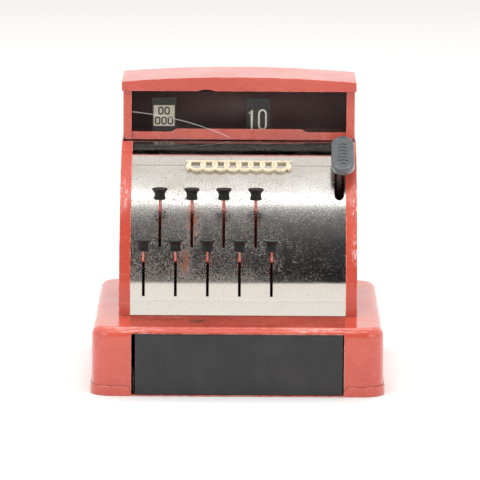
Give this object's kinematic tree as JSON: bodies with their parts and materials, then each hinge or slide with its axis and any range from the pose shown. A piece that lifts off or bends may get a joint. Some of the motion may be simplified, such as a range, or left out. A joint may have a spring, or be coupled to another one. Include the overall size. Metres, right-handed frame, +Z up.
{
  "type": "toy cash register",
  "caption": "Pressed-steel toy cash register with sprung keys, pop-up price flags behind a window, a side lever with bell, and a sliding divided drawer.",
  "frame": {"origin": "middle of the footprint, on the surface the register stands on", "axes": "+X to the register's right as the user faces it, +Y to the back, +Z up"},
  "size_m": [0.1714, 0.1786, 0.174],
  "materials": {
    "red_enamel": "worn gloss",
    "chrome_panel": "pitted bright plating",
    "clear_sheet": "thin clear plastic sheet",
    "cream_plastic": "gloss",
    "cream_plastic_matte": "satin",
    "black_enamel": "satin",
    "black_plastic": "worn gloss",
    "grey_plastic": "gloss",
    "brass_bell": "bright",
    "spring_steel": "drawn wire",
    "zinc_steel": "zinc plated"
  },
  "bodies": {
    "case": {"base_shell": "red_enamel", "base_pan": "red_enamel", "drawer_runners": "zinc_steel", "drawer_spring": "spring_steel", "left_side_panel": "red_enamel", "right_side_panel": "red_enamel", "back_panel": "red_enamel", "front_panel": "chrome_panel", "display_hood": "red_enamel", "window_sill": "red_enamel", "window_pane": "clear_sheet", "roof_cover": "red_enamel", "front_ornament": "cream_plastic", "main_shaft": "zinc_steel", "shaft_spacers": "zinc_steel", "key_stop_bar": "zinc_steel", "key_springs": "spring_steel", "flag_guide_lower": "zinc_steel", "flag_guide_upper": "zinc_steel", "flag_brake": "zinc_steel", "side_lever_spring": "spring_steel", "latch_bracket": "zinc_steel", "bell": "brass_bell", "bell_post": "zinc_steel", "case_screws": "zinc_steel"},
    "drawer": {"drawer_tray": "zinc_steel", "drawer_front": "black_enamel", "drawer_divider": "cream_plastic_matte"},
    "total_lever": {"side_lever": "black_enamel", "side_lever_grip": "grey_plastic"},
    "latch": {"drawer_latch": "zinc_steel"},
    "hammer": {"bell_hammer": "zinc_steel"},
    "key_1": {"key_lever_1": "red_enamel", "key_cap_1": "black_plastic"},
    "key_2": {"key_lever_2": "red_enamel", "key_cap_2": "black_plastic"},
    "key_3": {"key_lever_3": "red_enamel", "key_cap_3": "black_plastic"},
    "key_4": {"key_lever_4": "red_enamel", "key_cap_4": "black_plastic"},
    "key_5": {"key_lever_5": "red_enamel", "key_cap_5": "black_plastic"},
    "key_6": {"key_lever_6": "red_enamel", "key_cap_6": "black_plastic"},
    "key_7": {"key_lever_7": "red_enamel", "key_cap_7": "black_plastic"},
    "key_8": {"key_lever_8": "red_enamel", "key_cap_8": "black_plastic"},
    "key_9": {"key_lever_9": "red_enamel", "key_cap_9": "black_plastic"},
    "money_flag_1": {"flag_1": "black_enamel"},
    "money_flag_2": {"flag_2": "black_enamel"},
    "money_flag_3": {"flag_3": "black_enamel"},
    "money_flag_4": {"flag_4": "black_enamel"},
    "money_flag_5": {"flag_5": "black_enamel"},
    "money_flag_6": {"flag_6": "black_enamel"},
    "money_flag_7": {"flag_7": "black_enamel"},
    "money_flag_8": {"flag_8": "black_enamel"},
    "money_flag_9": {"flag_9": "black_enamel"}
  },
  "joints": [
    {"name": "drawer_slide", "type": "slide", "parent": "case", "child": "drawer", "axis": [0, -1, 0], "range_m": [0, 0.11], "deforming": ["drawer_spring"]},
    {"name": "total_lever_press", "type": "hinge", "parent": "case", "child": "total_lever", "pos_m": [0.0595, 0.006, 0.06], "axis": [1, 0, 0], "range_deg": [0, 14], "stiffness_Nm_per_rad": 0.1, "springref_deg": -17.19, "deforming": ["side_lever_spring"]},
    {"name": "latch_turn", "type": "hinge", "parent": "case", "child": "latch", "pos_m": [0.054, 0.025, 0.047], "axis": [1, 0, 0], "range_deg": [0, 7.8], "stiffness_Nm_per_rad": 0.03, "springref_deg": -17.19},
    {"name": "hammer_swing", "type": "hinge", "parent": "case", "child": "hammer", "pos_m": [0.046, 0.006, 0.06], "axis": [1, 0, 0], "range_deg": [0, 14]},
    {"name": "key_1_press", "type": "hinge", "parent": "case", "child": "key_1", "pos_m": [-0.0556, 0.006, 0.06], "axis": [1, 0, 0], "range_deg": [0, 22], "stiffness_Nm_per_rad": 0.04, "springref_deg": -17.19, "deforming": ["key_springs"]},
    {"name": "key_2_press", "type": "hinge", "parent": "case", "child": "key_2", "pos_m": [-0.0462, 0.006, 0.06], "axis": [1, 0, 0], "range_deg": [0, 22], "stiffness_Nm_per_rad": 0.04, "springref_deg": -17.19},
    {"name": "key_3_press", "type": "hinge", "parent": "case", "child": "key_3", "pos_m": [-0.0368, 0.006, 0.06], "axis": [1, 0, 0], "range_deg": [0, 22], "stiffness_Nm_per_rad": 0.04, "springref_deg": -17.19},
    {"name": "key_4_press", "type": "hinge", "parent": "case", "child": "key_4", "pos_m": [-0.0274, 0.006, 0.06], "axis": [1, 0, 0], "range_deg": [0, 22], "stiffness_Nm_per_rad": 0.04, "springref_deg": -17.19},
    {"name": "key_5_press", "type": "hinge", "parent": "case", "child": "key_5", "pos_m": [-0.018, 0.006, 0.06], "axis": [1, 0, 0], "range_deg": [0, 22], "stiffness_Nm_per_rad": 0.04, "springref_deg": -17.19},
    {"name": "key_6_press", "type": "hinge", "parent": "case", "child": "key_6", "pos_m": [-0.0086, 0.006, 0.06], "axis": [1, 0, 0], "range_deg": [0, 22], "stiffness_Nm_per_rad": 0.04, "springref_deg": -17.19},
    {"name": "key_7_press", "type": "hinge", "parent": "case", "child": "key_7", "pos_m": [0.0008, 0.006, 0.06], "axis": [1, 0, 0], "range_deg": [0, 22], "stiffness_Nm_per_rad": 0.04, "springref_deg": -17.19},
    {"name": "key_8_press", "type": "hinge", "parent": "case", "child": "key_8", "pos_m": [0.0102, 0.006, 0.06], "axis": [1, 0, 0], "range_deg": [0, 22], "stiffness_Nm_per_rad": 0.04, "springref_deg": -17.19},
    {"name": "key_9_press", "type": "hinge", "parent": "case", "child": "key_9", "pos_m": [0.0196, 0.006, 0.06], "axis": [1, 0, 0], "range_deg": [0, 22], "stiffness_Nm_per_rad": 0.04, "springref_deg": -17.19},
    {"name": "flag_1_rise", "type": "slide", "parent": "case", "child": "money_flag_1", "axis": [0, 0, 1], "range_m": [0, 0.02023]},
    {"name": "flag_2_rise", "type": "slide", "parent": "case", "child": "money_flag_2", "axis": [0, 0, 1], "range_m": [-0.02023, 0]},
    {"name": "flag_3_rise", "type": "slide", "parent": "case", "child": "money_flag_3", "axis": [0, 0, 1], "range_m": [0, 0.02023]},
    {"name": "flag_4_rise", "type": "slide", "parent": "case", "child": "money_flag_4", "axis": [0, 0, 1], "range_m": [0, 0.02023]},
    {"name": "flag_5_rise", "type": "slide", "parent": "case", "child": "money_flag_5", "axis": [0, 0, 1], "range_m": [0, 0.02023]},
    {"name": "flag_6_rise", "type": "slide", "parent": "case", "child": "money_flag_6", "axis": [0, 0, 1], "range_m": [0, 0.02023]},
    {"name": "flag_7_rise", "type": "slide", "parent": "case", "child": "money_flag_7", "axis": [0, 0, 1], "range_m": [0, 0.02023]},
    {"name": "flag_8_rise", "type": "slide", "parent": "case", "child": "money_flag_8", "axis": [0, 0, 1], "range_m": [-0.02023, 0]},
    {"name": "flag_9_rise", "type": "slide", "parent": "case", "child": "money_flag_9", "axis": [0, 0, 1], "range_m": [0, 0.02023]}
  ],
  "couplings": [
    {"joint": "latch_turn", "follows": "total_lever_press", "ratio": 0.557},
    {"joint": "hammer_swing", "follows": "total_lever_press", "ratio": 1},
    {"joint": "flag_1_rise", "follows": "key_1_press", "m_per_rad": 0.05267},
    {"joint": "flag_3_rise", "follows": "key_3_press", "m_per_rad": 0.05267},
    {"joint": "flag_4_rise", "follows": "key_4_press", "m_per_rad": 0.05267},
    {"joint": "flag_5_rise", "follows": "key_5_press", "m_per_rad": 0.05267},
    {"joint": "flag_6_rise", "follows": "key_6_press", "m_per_rad": 0.05267},
    {"joint": "flag_7_rise", "follows": "key_7_press", "m_per_rad": 0.05267},
    {"joint": "flag_9_rise", "follows": "key_9_press", "m_per_rad": 0.05267}
  ]
}
